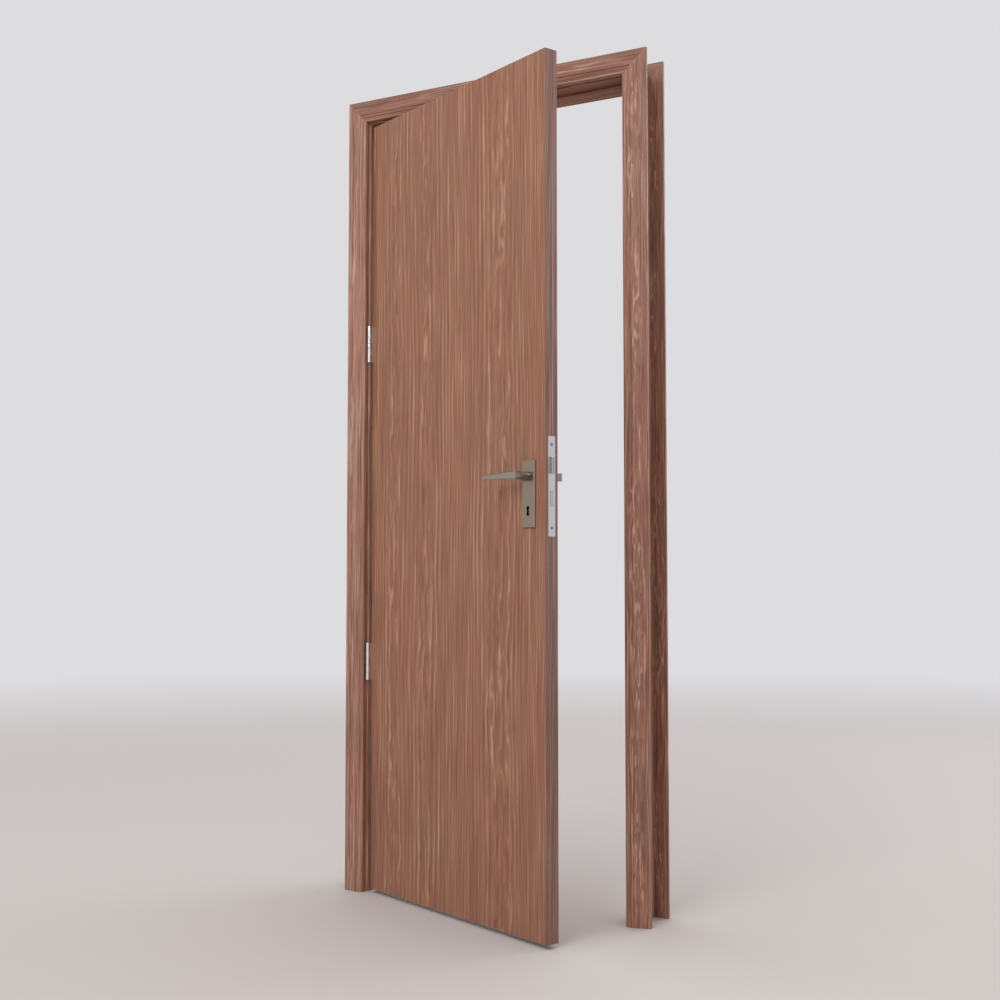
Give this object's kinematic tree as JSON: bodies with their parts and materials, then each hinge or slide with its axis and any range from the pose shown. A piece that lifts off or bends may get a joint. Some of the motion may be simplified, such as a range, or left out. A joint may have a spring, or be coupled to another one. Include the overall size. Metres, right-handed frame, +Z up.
{
  "type": "hinged interior door in its frame",
  "caption": "Flush veneered interior door ajar in a moulded wooden frame, with butt hinges, mortise lock, long backplates and lever handles.",
  "frame": {"origin": "on the back face of the hinge jamb, at floor level, half way through the wall", "axes": "+X along the wall from the hinge side to the lock side, +Y into the wall away from the side the leaf opens to, +Z up"},
  "size_m": [0.85, 0.4311, 2.061],
  "materials": {
    "leaf_veneer": "satin walnut-brown veneer, grain upright",
    "leaf_lipping": "satin wood edge strip",
    "leaf_core": "raw core board",
    "frame_veneer": "satin walnut-brown veneer, grain along each piece",
    "satin_nickel": "satin nickel",
    "lock_steel": "pale satin steel",
    "hinge_steel": "bright chrome"
  },
  "bodies": {
    "frame": {"hinge_jamb": "frame_veneer", "latch_jamb": "frame_veneer", "head_jamb": "frame_veneer", "hinge_stop": "frame_veneer", "latch_stop": "frame_veneer", "head_stop": "frame_veneer", "front_hinge_casing": "frame_veneer", "front_latch_casing": "frame_veneer", "front_head_casing": "frame_veneer", "back_hinge_casing": "frame_veneer", "back_latch_casing": "frame_veneer", "back_head_casing": "frame_veneer", "strike_plate": "lock_steel", "upper_hinge_jamb_plate": "hinge_steel", "upper_hinge_pin": "hinge_steel", "lower_hinge_jamb_plate": "hinge_steel", "lower_hinge_pin": "hinge_steel"},
    "leaf": {"front_panel": "leaf_veneer", "back_panel": "leaf_veneer", "hinge_lipping": "leaf_lipping", "lock_lipping": "leaf_lipping", "top_lipping": "leaf_lipping", "bottom_lipping": "leaf_lipping", "leaf_core": "leaf_core", "lock_case": "lock_steel", "forend": "lock_steel", "front_backplate": "satin_nickel", "back_backplate": "satin_nickel", "upper_hinge_leaf_plate": "hinge_steel", "lower_hinge_leaf_plate": "hinge_steel"},
    "handle": {"front_lever": "satin_nickel", "back_lever": "satin_nickel", "spindle": "lock_steel"},
    "latch": {"latch_bolt": "lock_steel"},
    "bolt": {"dead_bolt": "lock_steel"}
  },
  "joints": [
    {"name": "leaf_hinge", "type": "hinge", "parent": "frame", "child": "leaf", "pos_m": [0.03325, -0.0585, 1], "axis": [0, 0, -1], "range_deg": [-23.7, 136.3]},
    {"name": "handle_turn", "type": "hinge", "parent": "leaf", "child": "handle", "pos_m": [0.64369, -0.29807, 1.03], "axis": [-0.4019, -0.9157, 0], "range_deg": [0, 40], "stiffness_Nm_per_rad": 1.5, "springref_deg": -34.38},
    {"name": "latch_slide", "type": "slide", "parent": "leaf", "child": "latch", "axis": [-0.9157, 0.4019, 0], "range_m": [0, 0.01]},
    {"name": "bolt_slide", "type": "slide", "parent": "leaf", "child": "bolt", "axis": [0.9157, -0.4019, 0], "range_m": [0, 0.02]}
  ],
  "couplings": [
    {"joint": "latch_slide", "follows": "handle_turn", "m_per_rad": 0.014323}
  ]
}
